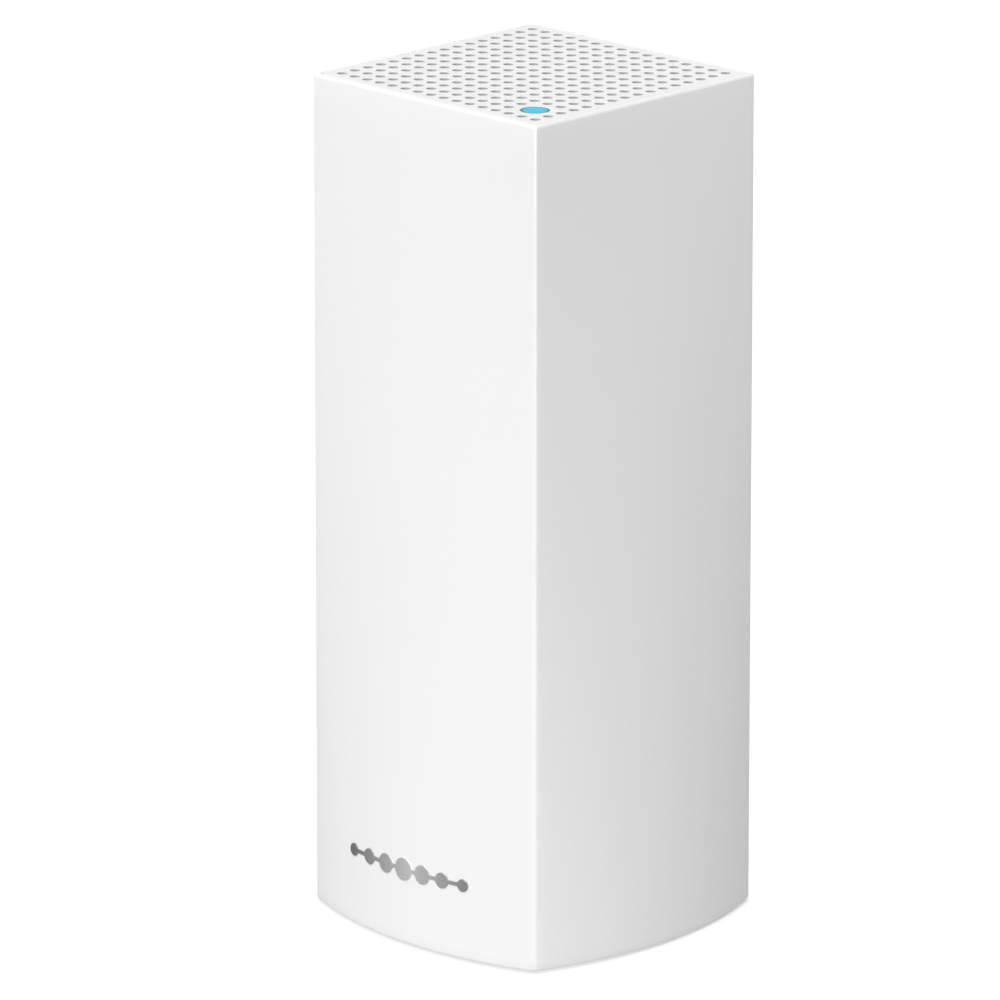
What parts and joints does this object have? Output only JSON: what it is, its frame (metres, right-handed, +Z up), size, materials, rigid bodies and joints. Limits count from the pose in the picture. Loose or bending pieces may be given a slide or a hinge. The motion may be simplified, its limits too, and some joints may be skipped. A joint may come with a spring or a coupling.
{
  "type": "mesh wifi node",
  "caption": "White square wifi tower whose sides bow out towards the foot, with a pierced top plate, a corner status light and a recessed port bay underneath.",
  "frame": {"origin": "on the desk under the middle of the tower, in the plane of the foot pads", "axes": "+Z up the tower; the badge faces -Y; the status light is at the +X -Y corner; the cord cut-out is in the +Y side"},
  "size_m": [0.08, 0.0795, 0.185],
  "materials": {
    "white_shell": "satin white",
    "badge_metal": "brushed",
    "light_lens": "translucent blue diffuser",
    "black_moulding": "fine texture",
    "circuit_board": "solder mask",
    "antenna_laminate": "laminate with copper",
    "led_package": "white",
    "screw_steel": "zinc plated",
    "flex_film": "amber film",
    "ivory_moulding": "matte",
    "frame_moulding": "matte",
    "lead_jacket": "smooth",
    "gilt_contact": "gilt",
    "chip_epoxy": "matte",
    "tin_plate": "bright tin",
    "thermal_gel": "soft pad",
    "sink_aluminium": "as extruded",
    "capacitor_sleeve": "sleeved can",
    "ferrite": "sintered",
    "pin_steel": "nickel plated",
    "red_moulding": "matte",
    "grey_moulding": "fine texture",
    "label_film": "printed film, left blank",
    "foot_rubber": "soft"
  },
  "bodies": {
    "tower": {"outer_sleeve": "white_shell", "top_grille": "white_shell", "front_badge": "badge_metal", "status_lens": "light_lens", "lens_shroud": "black_moulding", "led_board": "circuit_board", "status_led": "led_package", "led_board_screw": "screw_steel", "led_ribbon": "flex_film", "ribbon_connector": "ivory_moulding", "antenna_frame": "frame_moulding", "antenna_left_front": "antenna_laminate", "antenna_left_rear": "antenna_laminate", "antenna_right_front": "antenna_laminate", "antenna_right_rear": "antenna_laminate", "antenna_front": "antenna_laminate", "antenna_rear": "antenna_laminate", "lead_left_front": "lead_jacket", "lead_left_rear": "lead_jacket", "lead_right_front": "lead_jacket", "lead_right_rear": "lead_jacket", "lead_front": "lead_jacket", "lead_rear": "lead_jacket", "antenna_sockets": "gilt_contact", "main_board": "circuit_board", "processor": "chip_epoxy", "memory_chips": "chip_epoxy", "radio_chips": "chip_epoxy", "shield_can_front_lower": "tin_plate", "shield_can_front_upper": "tin_plate", "shield_can_rear": "tin_plate", "thermal_pad_front_lower": "thermal_gel", "thermal_pad_front_upper": "thermal_gel", "thermal_pad_rear": "thermal_gel", "heat_sink_front": "sink_aluminium", "heat_sink_rear": "sink_aluminium", "heat_sink_screws": "screw_steel", "lan_transformers": "chip_epoxy", "capacitors": "capacitor_sleeve", "power_inductor": "ferrite", "jack_left": "black_moulding", "jack_right": "black_moulding", "jack_shield_left": "tin_plate", "jack_shield_right": "tin_plate", "jack_contacts_left": "gilt_contact", "jack_contacts_right": "gilt_contact", "power_jack": "black_moulding", "power_jack_pin": "pin_steel", "switch_body": "tin_plate", "reset_switch_body": "tin_plate", "base_pan": "grey_moulding", "base_screws": "screw_steel", "rating_label": "label_film", "foot_front_left": "foot_rubber", "foot_front_right": "foot_rubber", "foot_rear_left": "foot_rubber", "foot_rear_right": "foot_rubber"},
    "switch_slider": {"power_slider": "black_moulding"},
    "reset_key": {"reset_plunger": "black_moulding", "reset_button": "red_moulding"}
  },
  "joints": [
    {"name": "power_switch_slide", "type": "slide", "parent": "tower", "child": "switch_slider", "axis": [1, 0, 0], "range_m": [0, 0.0035]},
    {"name": "reset_press", "type": "slide", "parent": "tower", "child": "reset_key", "axis": [0, 0, 1], "range_m": [0, 0.0005], "stiffness_N_per_m": 800, "springref_m": -0.0005}
  ]
}
